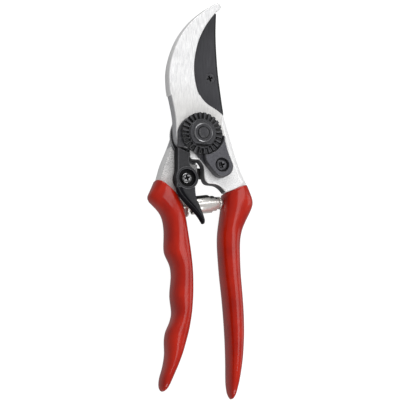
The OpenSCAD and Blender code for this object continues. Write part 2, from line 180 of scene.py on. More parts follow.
def add_node(material, kind, inputs, **settings):
    """Adds a node. Each input is a value, or another node's output to link."""
    node = material.node_tree.nodes.new(kind)
    for key, value in settings.items():
        setattr(node, key, value)
    for key, value in inputs.items():
        if isinstance(value, bpy.types.NodeSocket):
            material.node_tree.links.new(value, node.inputs[key])
        else:
            node.inputs[key].default_value = value
    return node


def noise(material, size, detail=4, roughness=0.55, distortion=0.0):
    """Noise with its features about this large along X, Y and Z, in mm."""
    place = add_node(material, "ShaderNodeTexCoord", {}).outputs["Object"]
    scaled = add_node(material, "ShaderNodeMapping",
                      {"Vector": place, "Scale": [1 / (s * MM) for s in size]}).outputs[0]
    return add_node(material, "ShaderNodeTexNoise",
                    {"Vector": scaled, "Scale": 1.0, "Detail": detail, "Roughness": roughness,
                     "Distortion": distortion}).outputs["Fac"]


def spread(material, value, low, high, to_low, to_high):
    """Spreads the values between low and high over the range from to_low to to_high."""
    return add_node(material, "ShaderNodeMapRange",
                    {"Value": value, "From Min": low, "From Max": high, "To Min": to_low,
                     "To Max": to_high}).outputs[0]


def mix_colours(material, factor, first, second):
    """Mixes two colours, each fixed or another node's output."""
    mixed = add_node(material, "ShaderNodeMix", {0: factor}, data_type="RGBA")
    for index, colour in ((6, first), (7, second)):
        if isinstance(colour, bpy.types.NodeSocket):
            material.node_tree.links.new(colour, mixed.inputs[index])
        else:
            mixed.inputs[index].default_value = (*colour, 1)
    return mixed.outputs[2]


def add_relief(material, shader, texture, depth):
    """Bumps a surface by a texture, this deep in mm, and gives back the bumped normal."""
    inputs = {"Height": texture, "Distance": depth * MM, "Strength": 1.0}
    normal = add_node(material, "ShaderNodeBump", inputs).outputs[0]
    material.node_tree.links.new(normal, shader.inputs["Normal"])
    return normal


def grained(name, dark, light, roughness, grain, height, broad=None, uneven=0.25, rough_spread=0.08,
            **finish):
    """A surface with a fine grain in its colour, roughness and relief, and broad unevenness."""
    material, shader = new_material(name, roughness, **finish)
    links = material.node_tree.links
    fine = noise(material, grain)
    colour = mix_colours(material, spread(material, fine, 0.3, 0.7, 0, 1), dark, light)
    if broad:
        patch = spread(material, noise(material, broad, detail=2), 0.35, 0.65, 0, uneven)
        colour = mix_colours(material, patch, colour, dark)
    links.new(colour, shader.inputs["Base Color"])
    links.new(spread(material, fine, 0.3, 0.7, roughness + rough_spread, roughness - rough_spread),
              shader.inputs["Roughness"])
    add_relief(material, shader, fine, height)
    return material


# Along the tool, in mm: where the scratches give way to grain, and where the darker colour near the
# pivot begins and ends
GRAIN_FROM, GRAIN_TO = -4, -20
DARKER_ABOVE, DARKER_BELOW = (30, 14), (2, -8)


def brushed_aluminium():
    """Long scratches along the hook, a darker colour near the pivot, and a blasted grain near the grip."""
    material, shader = new_material("brushed_aluminium", 0.4, metallic=0.4)
    links = material.node_tree.links
    scratches = noise(material, (0.42, 4.5, 3), detail=5, roughness=0.7, distortion=0.4)
    stray = noise(material, (1.2, 4, 3), detail=3, roughness=0.6, distortion=0.9)
    grain = noise(material, (0.5, 0.6, 0.5), detail=3, roughness=0.6)
    place = add_node(material, "ShaderNodeTexCoord", {}).outputs["Object"]
    along = add_node(material, "ShaderNodeSeparateXYZ", {"Vector": place}).outputs["Y"]
    blasted = spread(material, along, GRAIN_FROM * MM, GRAIN_TO * MM, 0.1, 0.85)
    texture = add_node(material, "ShaderNodeMix", {0: blasted, 2: scratches, 3: grain}).outputs[0]
    colour = mix_colours(material, spread(material, texture, 0.34, 0.6, 0, 1),
                         (0.68, 0.68, 0.69), (0.99, 0.99, 0.99))
    colour = mix_colours(material, spread(material, stray, 0.5, 0.75, 0, 0.3), colour, (0.76, 0.76, 0.78))
    # The colour is darker near the pivot
    above = spread(material, along, DARKER_ABOVE[0] * MM, DARKER_ABOVE[1] * MM, 0, 0.6)
    below = spread(material, along, DARKER_BELOW[0] * MM, DARKER_BELOW[1] * MM, 1, 0)
    dull = add_node(material, "ShaderNodeMath", {0: above, 1: below}, operation="MULTIPLY").outputs[0]
    colour = mix_colours(material, dull, colour, (0.62, 0.61, 0.59))
    links.new(colour, shader.inputs["Base Color"])
    links.new(spread(material, texture, 0.3, 0.7, 0.52, 0.36), shader.inputs["Roughness"])
    add_relief(material, shader, texture, 0.02)
    return material


def grip_vinyl():
    """Glossy red vinyl with the faint orange peel of a dipped coating."""
    material, shader = new_material("red_vinyl", 0.34, coat=0.65, coat_roughness=0.15, specular=0.12)
    links = material.node_tree.links
    peel = noise(material, (1.3, 2.2, 1.3), detail=3)
    cloud = noise(material, (9, 14, 9), detail=2)
    colour = mix_colours(material, spread(material, cloud, 0.35, 0.65, 0, 1),
                         (0.4, 0.009, 0.002), (0.52, 0.016, 0.003))
    links.new(colour, shader.inputs["Base Color"])
    links.new(spread(material, peel, 0.3, 0.7, 0.4, 0.28), shader.inputs["Roughness"])
    links.new(add_relief(material, shader, peel, 0.03), shader.inputs["Coat Normal"])
    return material


# Aluminium: brushed faces, polished chamfers, the forged and blasted walls, and copies of the wall metal
# that carry painted light and painted shade
BRUSHED = brushed_aluminium()
BRIGHT = grained("polished_aluminium", (0.86, 0.86, 0.86), (0.99, 0.99, 0.99), 0.34, (0.4, 4, 2), 0.01,
                 metallic=0.3)
# Painted light: a pale copy of the wall metal, for the hook's wall above the step and the blade lever's
# shoulder wall
WALL_IN_PAINTED_LIGHT = grained("painted_light_forged_wall", (0.9, 0.9, 0.9), (1, 1, 1), 0.45, (0.3, 2, 1.2), 0.02)
WALL = grained("forged_wall", (0.55, 0.56, 0.58), (0.74, 0.74, 0.76), 0.42, (0.3, 3, 1.2), 0.02,
               broad=(5, 8, 5), metallic=0.4)
# Painted shade: a dark copy of the wall metal, for the hook lever's wall under the latch
WALL_IN_PAINTED_SHADE = grained("painted_shade_forged_wall", (0.05, 0.052, 0.055), (0.17, 0.17, 0.18), 0.45, (0.6, 0.6, 0.6), 0.05,
                 broad=(4, 4, 4), uneven=0.5, metallic=0.3)
CAST = grained("blasted_aluminium", (0.42, 0.42, 0.42), (1, 0.99, 0.98), 0.5, (0.6, 0.6, 0.6), 0.05,
               broad=(5, 8, 5), uneven=0.3, metallic=0.1)

# Blade
BLADE = grained("blade_coating", (0.032, 0.032, 0.037), (0.05, 0.05, 0.057), 0.45, (0.5, 9, 4), 0.012,
                broad=(10, 16, 8), uneven=0.5, specular=0.35)
BLADE_SPINE = grained("blade_spine", (0.008, 0.008, 0.01), (0.016, 0.016, 0.018), 0.45, (0.5, 6, 2), 0.01,
                      specular=0.3)
GROUND = grained("ground_steel", (0.42, 0.42, 0.44), (0.72, 0.72, 0.74), 0.3, (3, 0.3, 3), 0.01,
                 broad=(8, 14, 8), metallic=0.9)

# Black steel of the pivot and the screws, with painted light on the segment's face, a painted highlight on
# the boss's chamfer and painted shade in gaps and recesses
OXIDE = grained("black_oxide", (0.027, 0.027, 0.031), (0.058, 0.058, 0.066), 0.42, (0.7, 0.7, 0.7), 0.04,
                broad=(4, 4, 4), uneven=0.5, specular=0.4)
OXIDE_EDGE = grained("worn_oxide", (0.04, 0.04, 0.045), (0.12, 0.12, 0.125), 0.32, (0.9, 0.9, 0.9), 0.02,
                     broad=(3, 3, 3), uneven=0.8, metallic=0.3)
# Painted light: a lighter copy of the oxide for the segment's front face
SEGMENT_FACE_PAINTED_LIGHT = grained("segment_oxide_painted_light", (0.06, 0.06, 0.07), (0.115, 0.115, 0.13), 0.42, (0.7, 0.7, 0.7),
                       0.04, broad=(4, 4, 4), uneven=0.4, specular=0.4)
# Painted highlight: a bright metal on the nut boss's chamfer
RING = grained("boss_chamfer_painted_highlight", (0.2, 0.2, 0.21), (0.5, 0.5, 0.51), 0.25, (0.8, 0.8, 0.8), 0.01,
               broad=(5, 5, 5), uneven=0.7, metallic=0.7)
# Painted shade: near black, for the nut's gaps, the walls of its toothed rim and its bore
GAP_PAINTED_SHADE = grained("oxide_painted_shade_gap", (0.007, 0.007, 0.008), (0.016, 0.016, 0.018), 0.45, (0.7, 0.7, 0.7), 0.03)
# Painted shade: near black, for screw recesses and the latch's counterbore
PIT_PAINTED_SHADE = grained("recess_painted_shade", (0.003, 0.003, 0.004), (0.008, 0.008, 0.009), 0.5, (0.5, 0.5, 0.5), 0.03,
              specular=0.2)
SCREW = grained("screw_oxide", (0.03, 0.03, 0.032), (0.34, 0.34, 0.345), 0.16, (1.1, 1.1, 1.1), 0.05,
                metallic=0.9)
DULL_SCREW = grained("dull_screw", (0.035, 0.035, 0.04), (0.085, 0.085, 0.095), 0.26, (0.8, 0.8, 0.8), 0.03,
                     metallic=0.3)

# Thumb latch: its coating, with a painted highlight for its edges and painted shade for its walls, facets
# and groove
LATCH = grained("latch_coating", (0.01, 0.01, 0.012), (0.02, 0.02, 0.024), 0.4, (0.45, 0.45, 0.45), 0.02,
                broad=(4, 8, 4), uneven=0.5, specular=0.4)
# Painted highlight: a lighter copy of the coating on the latch's front bevels and the thumb pad's edge
LATCH_PAINTED_HIGHLIGHT = grained("latch_edge_painted_highlight", (0.06, 0.06, 0.066), (0.12, 0.12, 0.13), 0.36, (0.8, 0.8, 0.8), 0.02)
# Painted shade: a darker copy of the coating on the latch's walls and its tail's facet and groove
LATCH_PAINTED_SHADE = grained("latch_facet_painted_shade", (0.004, 0.004, 0.006), (0.009, 0.009, 0.012), 0.5, (0.45, 0.45, 0.45),
                     0.02, specular=0.08)

# Spring, and a painted reflection: a dark copy of its metal on its side toward the tip, which stands for
# the latch it mirrors
CHROME = grained("spring_chrome", (0.9, 0.88, 0.84), (0.97, 0.95, 0.91), 0.24, (4, 4, 4), 0.0,
                 rough_spread=0.02, metallic=0.6)
CHROME_PAINTED_REFLECTION = grained("spring_painted_reflection", (0.008, 0.008, 0.008), (0.03, 0.029, 0.027), 0.5, (2, 2, 2), 0.0,
                      specular=0.1)

# Small parts and grips
RUBBER = grained("black_rubber", (0.012, 0.012, 0.012), (0.022, 0.022, 0.022), 0.65, (0.4, 0.4, 0.4), 0.04)
BRASS = grained("bearing_brass", (0.42, 0.27, 0.09), (0.62, 0.43, 0.16), 0.3, (0.3, 2, 2), 0.01,
                metallic=1.0)
STEEL = grained("ground_plate", (0.5, 0.5, 0.5), (0.74, 0.74, 0.74), 0.28, (0.3, 5, 3), 0.01, metallic=0.95)
RED = grip_vinyl()


# ---------------------------------------------------------------- outlines cut from the CAD model

def signed_area(loop):
    """Area of an outline, negative where it runs clockwise."""
    return sum(loop[i - 1].cross(loop[i]) for i in range(len(loop))) / 2


def is_inside(point, loop):
    """Whether a point lies inside an outline."""
    found = False
    for a, b in zip(loop, loop[1:] + loop[:1]):
        if (a.y > point.y) != (b.y > point.y):
            if point.x < a.x + (point.y - a.y) / (b.y - a.y) * (b.x - a.x):
                found = not found
    return found


# Vertices closer than this are merged, in metres
WELD = 2e-6
# Points of an outline closer than this to the one before are left out, in mm
LEAST_STEP = 0.03


def cut_outlines(node, height):
    """Closed outlines of a CAD node at a height, in mm, with the material on their left."""
    bm = bmesh.new()
    bm.from_mesh(NODES[node].data)
    bmesh.ops.remove_doubles(bm, verts=bm.verts, dist=WELD)
    cut = bmesh.ops.bisect_plane(bm, geom=bm.verts[:] + bm.edges[:] + bm.faces[:], dist=1e-8,
                                 plane_co=(0, 0, height * MM), plane_no=(0, 0, 1))
    bm.verts.index_update()
    near = {}
    places = {}
    for e in cut["geom_cut"]:
        if isinstance(e, bmesh.types.BMEdge):
            a, b = e.verts
            near.setdefault(a.index, []).append(b.index)
            near.setdefault(b.index, []).append(a.index)
            places[a.index] = a.co.xy / MM
            places[b.index] = b.co.xy / MM
    loops = []
    while near:
        start = min(near)
        walk = [start]
        while True:
            onward = [n for n in near[walk[-1]] if n in near and n not in walk]
            if not onward:
                break
            walk.append(onward[0])
        for n in walk:
            near.pop(n, None)
        if len(walk) > 2:
            loops.append([places[n] for n in walk])
    bm.free()
    for i, loop in enumerate(loops):
        depth = sum(is_inside(loop[0], other) for j, other in enumerate(loops) if j != i)
        if (signed_area(loop) > 0) != (depth % 2 == 0):
            loop.reverse()
    return loops


def smooth_outline(loop, step=0.45, corner=32, passes=6):
    """Even points along an outline: the facets of its curves go and its real corners stay.
    step is the points' distance in mm, and corner the least turn that counts as a corner, in degrees."""
    points = [p for i, p in enumerate(loop) if (p - loop[i - 1]).length > LEAST_STEP]
    n = len(points)
    turns = [(points[i] - points[i - 1]).angle(points[(i + 1) % n] - points[i]) for i in range(n)]
    corners = [i for i in range(n) if turns[i] > math.radians(corner)]
    starts = corners or [0]
    even, fixed = [], []
    for k, start in enumerate(starts):
        stop = starts[(k + 1) % len(starts)]
        count = (stop - start - 1) % n + 1
        run = [points[(start + j) % n] for j in range(count + 1)]
        reach = [0.0]
        for a, b in zip(run, run[1:]):
            reach.append(reach[-1] + (b - a).length)
        pieces = max(1, round(reach[-1] / step))
        j = 0
        for s in range(pieces):
            along = reach[-1] * s / pieces
            while reach[j + 1] < along:
                j += 1
            even.append(run[j].lerp(run[j + 1], (along - reach[j]) / (reach[j + 1] - reach[j])))
            fixed.append(bool(corners) and s == 0)
    for _ in range(passes):
        even = [p if fixed[i] else (even[i - 1] + 2 * p + even[(i + 1) % len(even)]) / 4
                for i, p in enumerate(even)]
    return even


# Most passes in which an inset outline's folds are drawn together
UNFOLDING_PASSES = 60


def inset(loop, widths):
    """Moves each point of an outline into the material by its own width, without folds."""
    n = len(loop)
    moved = []
    for i, p in enumerate(loop):
        before = (p - loop[i - 1]).normalized()
        after = (loop[(i + 1) % n] - p).normalized()
        along = (before + after).normalized()
        moved.append(p + Vector((-along.y, along.x)) * (widths[i] / max(0.5, before.dot(along))))
    for _ in range(UNFOLDING_PASSES):
        folds = [i for i in range(n)
                 if (moved[(i + 1) % n] - moved[i]).dot(loop[(i + 1) % n] - loop[i]) < 0]
        for i in folds:
            middle = (moved[i] + moved[(i + 1) % n]) / 2
            moved[i] = middle
            moved[(i + 1) % n] = middle.copy()
        if not folds:
            break
    return moved


# ---------------------------------------------------------------- layers and turned shapes

# Sections of an edge, from the wall to the face: (share of its width, share of its height)
ROUND = [(1 - math.cos(t), 1 - math.sin(t)) for t in (0, 0.39, 0.785, 1.18, math.pi / 2)]
BEVEL = [(0, 1.12), (0.04, 0.94), (0.94, 0.05), (1.12, 0)]
# Flat lip between an edge and its face, and the widest edge of a hole, in mm
FACE_LIP, HOLE_EDGE = 0.06, 0.14
# Passes that smooth an edge's width where it changes along the outline
WIDTH_PASSES = 24
# Place of the wall in a layer's list of materials
WALL_REGION = 2


def bridge(bm, rings, part_of=lambda k, i: 0, capped=False):
    """Faces between each ring of vertices and the next. part_of gives a face's material by its ring and
    its place round the ring."""
    for k, (lower, upper) in enumerate(zip(rings, rings[1:])):
        for i in range(len(lower)):
            j = (i + 1) % len(lower)
            face = bm.faces.new((lower[i], lower[j], upper[j], upper[i]))
            face.material_index = part_of(k, i)
    if capped:
        bm.faces.new(rings[0][::-1])
        bm.faces.new(rings[-1])


def edge_rings(loop, section, width, height, level, sign, wide):
    """Rings of one edge, from the wall to the face. sign is 1 on the front and -1 on the back.
    wide gives the edge's width by place instead of width."""
    hole = signed_area(loop) < 0
    widths = [min(HOLE_EDGE, width) if hole else (wide(p) if wide else width) for p in loop]
    if hole:
        height = min(height, HOLE_EDGE)
    for _ in range(WIDTH_PASSES if wide else 0):
        widths = [(widths[i - 1] + 2 * w + widths[(i + 1) % len(widths)]) / 4 for i, w in enumerate(widths)]
    rings = [(inset(loop, [w * share for w in widths]), level - sign * drop * height)
             for share, drop in section]
    last = section[-1][0]
    rings.append((inset(loop, [w * last + FACE_LIP for w in widths]), level))
    return rings


def add_layer(bm, loops, low, high, top=(ROUND, 0.3, 0.3), bottom=(ROUND, 0.3, 0.3), wide=None,
              wide_bottom=None, shrink=0.0, parts=(0, 0, 0, 0, 0), wall_part=None):
    """A closed slab between two levels. top and bottom are each edge's section, width and height.
    parts are the materials of its back, back edge, wall, front edge and front. wall_part gives the
    wall's material by place instead."""
    for loop in loops:
        if shrink:
            loop = inset(loop, [shrink] * len(loop))
        back = edge_rings(loop, *bottom, low, -1, wide_bottom)
        front = edge_rings(loop, *top, high, 1, wide)
        regions = [0] + [1] * (len(back) - 2) + [WALL_REGION] + [3] * (len(front) - 2) + [4]
        rings = [[bm.verts.new((p.x * MM, p.y * MM, z * MM)) for p in ring]
                 for ring, z in back[::-1] + front]
        by_place = [wall_part(p) if wall_part else parts[WALL_REGION] for p in loop]
        bridge(bm, rings, lambda k, i: by_place[i] if regions[k] == WALL_REGION else parts[regions[k]])
    bmesh.ops.remove_doubles(bm, verts=bm.verts, dist=WELD)
    for level, up, part in ((low, False, parts[0]), (high, True, parts[4])):
        rim = [e for e in bm.edges
               if e.is_boundary and all(abs(v.co.z / MM - level) < 1e-4 for v in e.verts)]
        filled = bmesh.ops.triangle_fill(bm, use_beauty=True, use_dissolve=False, edges=rim,
                                         normal=(0, 0, 1))
        for face in filled["geom"]:
            if isinstance(face, bmesh.types.BMFace):
                face.normal_update()
                if (face.normal.z > 0) != up:
                    face.normal_flip()
                face.material_index = part


def add_turned(bm, section, part_of, sides=72):
    """A shape turned about the pivot: section is a list of (radius, level) from the back to the front,
    and part_of gives the material of each stretch of it."""
    rings = []
    for radius, level in section:
        around = [math.tau * i / sides for i in range(sides if radius else 1)]
        rings.append([bm.verts.new(Vector((radius * math.cos(a), radius * math.sin(a), level)) * MM)
                      for a in around])
    for k, (lower, upper) in enumerate(zip(rings, rings[1:])):
        for i in range(sides):
            j = (i + 1) % sides
            corners = [lower[i % len(lower)], lower[j % len(lower)],
                       upper[j % len(upper)], upper[i % len(upper)]]
            face = bm.faces.new(list(dict.fromkeys(corners)))
            face.material_index = part_of(k)


def make_piece(bm, name, body, materials, nodes, sharp=40):
    """A named piece of the looks that rides a body and replaces CAD nodes. sharp is the least angle of an
    edge that isn't smoothed over, in degrees."""
    mesh = bpy.data.meshes.new(name)
    bm.to_mesh(mesh)
    bm.free()
    for material in materials:
        mesh.materials.append(material)
    mesh.shade_smooth()
    mesh.set_sharp_from_angle(angle=math.radians(sharp))
    piece = bpy.data.objects.new(name, mesh)
    bpy.context.scene.collection.objects.link(piece)
    if body:
        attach(piece, body)
    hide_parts(*nodes)
    return piece


def outlines(node, height, **how):
    """Smoothed outlines of a CAD node at a height, in mm."""
    return [smooth_outline(loop, **how) for loop in cut_outlines(node, height)]


def softened_copy(node, name, body, material, width):
    """A small CAD part with its edges rounded."""
    bm = bmesh.new()
    bm.from_mesh(NODES[node].data)
    bmesh.ops.remove_doubles(bm, verts=bm.verts, dist=3e-6)
    bmesh.ops.dissolve_limit(bm, angle_limit=math.radians(0.6), verts=bm.verts, edges=bm.edges)
    for face in bm.faces:
        face.material_index = 0
    piece = make_piece(bm, name, body, [material], [node])
    bevel = piece.modifiers.new("edges", "BEVEL")
    bevel.width = width * MM
    bevel.segments = 3
    bevel.limit_method = "ANGLE"
    bevel.angle_limit = math.radians(35)
    bevel.harden_normals = True
    return piece


# ---------------------------------------------------------------- levers

# Small step in the hook's left wall: its level, its depth and the run that leads out to it, in mm
STEP_AT, STEP_OUT, STEP_RUN = 20.5, 0.4, 7
# Front chamfer of the hook lever: its width, and its broad stretch and where that lies, in mm
CHAMFER_WIDE, CHAMFER_BROAD = 0.4, 2.1
BROAD_AREA = ((11.5, math.inf), (-26.5, 9.5))
# Where the hook lever's wall, under the latch, gets painted shade: a dark copy of the wall metal, in mm
SHADE_AREA = ((-6.2, 14), (-30.4, -8.2))


def is_in_area(p, area):
    """Whether a point lies in an area, given by its two limits in x and its two in y."""
    (left, right), (low, high) = area
    return left < p.x < right and low < p.y < high


def make_hook_lever():
    """The forged hook lever: brushed faces, a broad chamfer down its outer edge, cast walls with painted
    light above the step and painted shade under the latch.
    """
    def chamfer(p):
        return CHAMFER_BROAD if is_in_area(p, BROAD_AREA) else CHAMFER_WIDE

    def wall(p):
        # Material 4 is the painted shade on the wall under the latch
        if is_in_area(p, SHADE_AREA):
            return 4
        # Material 5 is the painted light on the wall above the step
        return 5 if p.y > STEP_AT else 1

    front = outlines("hook_lever", HOOK_FRONT - 0.2)
    for loop in front:
        for p in loop:
            if p.x < 0 and STEP_AT < p.y < STEP_AT + STEP_RUN:
                p.x -= STEP_OUT * (STEP_AT + STEP_RUN - p.y) / STEP_RUN
    bm = bmesh.new()
    add_layer(bm, front, HOOK_BACK, HOOK_FRONT, top=(BEVEL, CHAMFER_WIDE, 0.5),
              bottom=(ROUND, 0.5, 0.5), wide=chamfer, parts=(0, 1, 1, 2, 0), wall_part=wall)
    add_layer(bm, outlines("hook_lever", HOOK_BACK - 0.8), TANG_BACK, HOOK_BACK + OVERLAP,
              top=(ROUND, 0.1, 0.1), bottom=(ROUND, 1.0, 1.0), shrink=SLIVER, parts=(3, 3, 3, 3, 3))
    make_piece(bm, "hook_lever_forging", HOOK_BODY,
               [BRUSHED, WALL, BRIGHT, CAST, WALL_IN_PAINTED_SHADE, WALL_IN_PAINTED_LIGHT], ["hook_lever"])


def make_blade_lever():
    """The forged lever behind the blade, with its raised shoulder under the latch."""
    bm = bmesh.new()
    add_layer(bm, outlines("blade_lever", BLADE_LEVER_BACK + 1), BLADE_LEVER_BACK, BLADE_BACK,
              top=(ROUND, 0.3, 0.3), bottom=(BEVEL, 0.9, 0.8), shrink=SLIVER, parts=(0, 1, 2, 2, 2))
    # The shoulder's wall gets the pale copy of the wall metal: painted light
    add_layer(bm, outlines("blade_lever", SHOULDER_FRONT - 1), BLADE_LEVER_BACK + SLIVER, SHOULDER_FRONT,
              top=(ROUND, 0.7, 0.7), bottom=(BEVEL, 0.9, 0.8), parts=(0, 1, 4, 3, 3))
    make_piece(bm, "blade_lever_forging", BLADE_BODY,
               [BRUSHED, BRIGHT, WALL, CAST, WALL_IN_PAINTED_LIGHT], ["blade_lever"])


# ---------------------------------------------------------------- blades

# Widths of the blade's ground bevel, of the spine's broken edge and of its other edges, in mm
GRIND_WIDE, SPINE_WIDE, FINE_WIDE = 5.2, 0.9, 0.25
# The ground bevel lies in this span along the tool, left of a line given by a point and its slope
GRIND_SPAN = (16, 66)
GRIND_LINE_X, GRIND_LINE_Y, GRIND_LINE_SLOPE = 4.5, 30, 0.054
# Where the spine's broken edge lies, in mm
SPINE_AREA = ((10.6, math.inf), (12, math.inf))


def make_blade():
    """The coated blade: ground on its back along the cutting side, with a broken spine edge."""
    def grind(p):
        line = GRIND_LINE_X + GRIND_LINE_SLOPE * (p.y - GRIND_LINE_Y)
        return GRIND_WIDE if is_in_area(p, ((-math.inf, line), GRIND_SPAN)) else FINE_WIDE

    def spine(p):
        return SPINE_WIDE if is_in_area(p, SPINE_AREA) else FINE_WIDE

    bm = bmesh.new()
    add_layer(bm, outlines("blade", BLADE_FRONT - 0.05), BLADE_BACK, BLADE_FRONT,
              top=(BEVEL, FINE_WIDE, 0.4), bottom=(BEVEL, FINE_WIDE, 2.7), wide=spine, wide_bottom=grind,
              parts=(0, 1, 2, 2, 0))
    make_piece(bm, "blade_leaf", BLADE_BODY, [BLADE, GROUND, BLADE_SPINE], ["blade"])


def make_counter_blade():
    """The cutting plate on the hook's back and the two rivets that hold it."""
    bm = bmesh.new()
    add_layer(bm, outlines("counter_blade", COUNTER_BACK + 0.7), COUNTER_BACK, COUNTER_FRONT,
              top=(ROUND, 0.1, 0.1), bottom=(BEVEL, 0.25, 0.25))
    make_piece(bm, "counter_blade_plate", HOOK_BODY, [STEEL], ["counter_blade"])
    bm = bmesh.new()
    add_layer(bm, outlines("counter_blade_rivets", RIVET_FRONT - 2.5), COUNTER_BACK, RIVET_FRONT,
              bottom=(ROUND, 0.35, 0.2))
    make_piece(bm, "counter_blade_rivet_heads", HOOK_BODY, [GROUND],
               ["counter_blade_rivets"])


# ---------------------------------------------------------------- pivot

# Radii of the bolt's parts and of the nut's boss, and the level of the bolt head's front, in mm
HEAD_RADIUS, SHANK_RADIUS, THREAD_RADIUS, BOSS_RADIUS = 8, 4.5, 2.95, 5.3
HEAD_FRONT = 1.95


def make_bolt():
    """Shouldered bolt: a dished head at the back and a domed end inside the nut's boss."""
    dish = [(0, 0.5), (2.6, 0.5), (2.9, 0.1), (3.3, 0)]
    head = [(7.3, 0), (7.75, 0.12), (HEAD_RADIUS, 0.5), (HEAD_RADIUS, 1.3), (7.6, 1.85), (7.4, HEAD_FRONT)]
    shank = [(SHANK_RADIUS, HEAD_FRONT), (SHANK_RADIUS, HOOK_FRONT), (THREAD_RADIUS, HOOK_FRONT)]
    dome = [(THREAD_RADIUS, 0.42), (THREAD_RADIUS - 0.25, 0.2), (2.0, 0.07), (1.0, 0.01), (0, 0)]
    section = dish + head + shank + [(radius, BOLT_END - drop) for radius, drop in dome]
    # The head's back corner and the corner of the domed end are worn
    worn = (5, 13, 14)
    bm = bmesh.new()
    add_turned(bm, section, lambda k: 1 if k in worn else 0)
    make_piece(bm, "pivot_bolt_turned", HOOK_BODY, [OXIDE, OXIDE_EDGE], ["pivot_bolt"],
               sharp=30)


def make_nut():
    """Toothed nut: radial gaps round its rim, two flats and a boss with a painted highlight on its chamfer;
    its gaps and bore get painted shade.
    """
    bm = bmesh.new()
    # The floor in the nut's gaps and the walls of its toothed rim get painted shade
    add_layer(bm, outlines("pivot_nut", NUT_BACK + 0.3), NUT_BACK, NUT_TOOTH_FLOOR, top=(ROUND, 0.1, 0.1),
              bottom=(ROUND, 0.2, 0.2), shrink=SLIVER, parts=(0, 0, 0, 2, 2))
    add_layer(bm, outlines("pivot_nut", NUT_RIM - 0.4, step=0.25, passes=1), NUT_TOOTH_FLOOR - OVERLAP,
              NUT_RIM, top=(BEVEL, 0.28, 0.3), parts=(0, 0, 2, 1, 0))
    add_layer(bm, outlines("pivot_nut", NUT_FLATS - 0.3), NUT_RIM - OVERLAP, NUT_FLATS,
              top=(BEVEL, 0.3, 0.3), parts=(0, 0, 0, 1, 0))
    # The boss from its foot: out, up its wall, over its chamfer and face, and down its bore
    foot = NUT_FLATS - 2 * OVERLAP
    bore = THREAD_RADIUS + 0.02
    chamfer = [(0, 0.55), (0.08, 0.4), (0.45, 0.05), (0.6, 0), (1.2, 0)]
    mouth = [(0.55, 0), (0.3, 0.12), (0.02, 0.5)]
    section = [(bore, foot), (BOSS_RADIUS, foot)]
    section += [(BOSS_RADIUS - inward, NUT_FRONT - drop) for inward, drop in chamfer]
    section += [(THREAD_RADIUS + outward, NUT_FRONT - drop) for outward, drop in mouth]
    section.append((bore, foot))
    # Stretches of that section with a material of their own: the chamfer with its painted highlight and the
    # bore with its painted shade
    boss_parts = {2: 3, 3: 3, 4: 3, 7: 2, 8: 2, 9: 2}
    add_turned(bm, section, lambda k: boss_parts.get(k, 0))
    make_piece(bm, "pivot_nut_toothed", HOOK_BODY, [OXIDE, OXIDE_EDGE, GAP_PAINTED_SHADE, RING],
               ["pivot_nut"], sharp=35)


def make_washer():
    """Thin brass bearing washer between the levers."""
    bm = bmesh.new()
    add_layer(bm, outlines("pivot_washer", WASHER_FRONT - 0.5), WASHER_BACK, WASHER_FRONT,
              top=(ROUND, 0.15, 0.15), bottom=(ROUND, 0.15, 0.15))
    make_piece(bm, "pivot_washer_brass", HOOK_BODY, [BRASS], ["pivot_washer"])


def make_stop_plate():
    """Pressed plate under the nut, with a straight lug beside the notch."""
    bm = bmesh.new()
    add_layer(bm, outlines("stop_plate", PLATE_FRONT - 0.5), HOOK_FRONT, PLATE_FRONT,
              top=(BEVEL, 0.3, 0.25), bottom=(ROUND, 0.1, 0.1), parts=(0, 0, 0, 1, 0))
    make_piece(bm, "stop_plate_pressing", HOOK_BODY, [OXIDE, OXIDE_EDGE], ["stop_plate"])


def make_segment():
    """Locking segment, with its teeth in the nut's gaps and a low foot under the nut."""
    bm = bmesh.new()
    add_layer(bm, outlines("lock_segment", SEGMENT_SEAT - 0.7), HOOK_FRONT, SEGMENT_SEAT,
              top=(ROUND, 0.1, 0.1), bottom=(ROUND, 0.15, 0.15), shrink=2 * SLIVER)
    # Its front face gets the lighter copy of the oxide: painted light
    add_layer(bm, outlines("lock_segment", SEGMENT_FRONT - 0.5), SEGMENT_SEAT - OVERLAP, SEGMENT_FRONT,
              top=(BEVEL, 0.45, 0.45), parts=(0, 0, 0, 1, 2))
    add_layer(bm, outlines("lock_segment", TOOTH_FRONT - 0.2, step=0.25, passes=1), TOOTH_BACK, TOOTH_FRONT,
              top=(BEVEL, 0.2, 0.2), shrink=SLIVER)
    add_layer(bm, outlines("lock_segment", SEGMENT_FOOT - 0.5), HOOK_FRONT, SEGMENT_FOOT,
              top=(BEVEL, 0.3, 0.3), shrink=SLIVER, parts=(0, 0, 0, 1, 0))
    make_piece(bm, "lock_segment_plate", HOOK_BODY, [OXIDE, OXIDE_EDGE, SEGMENT_FACE_PAINTED_LIGHT],
               ["lock_segment"])


# ---------------------------------------------------------------- screws

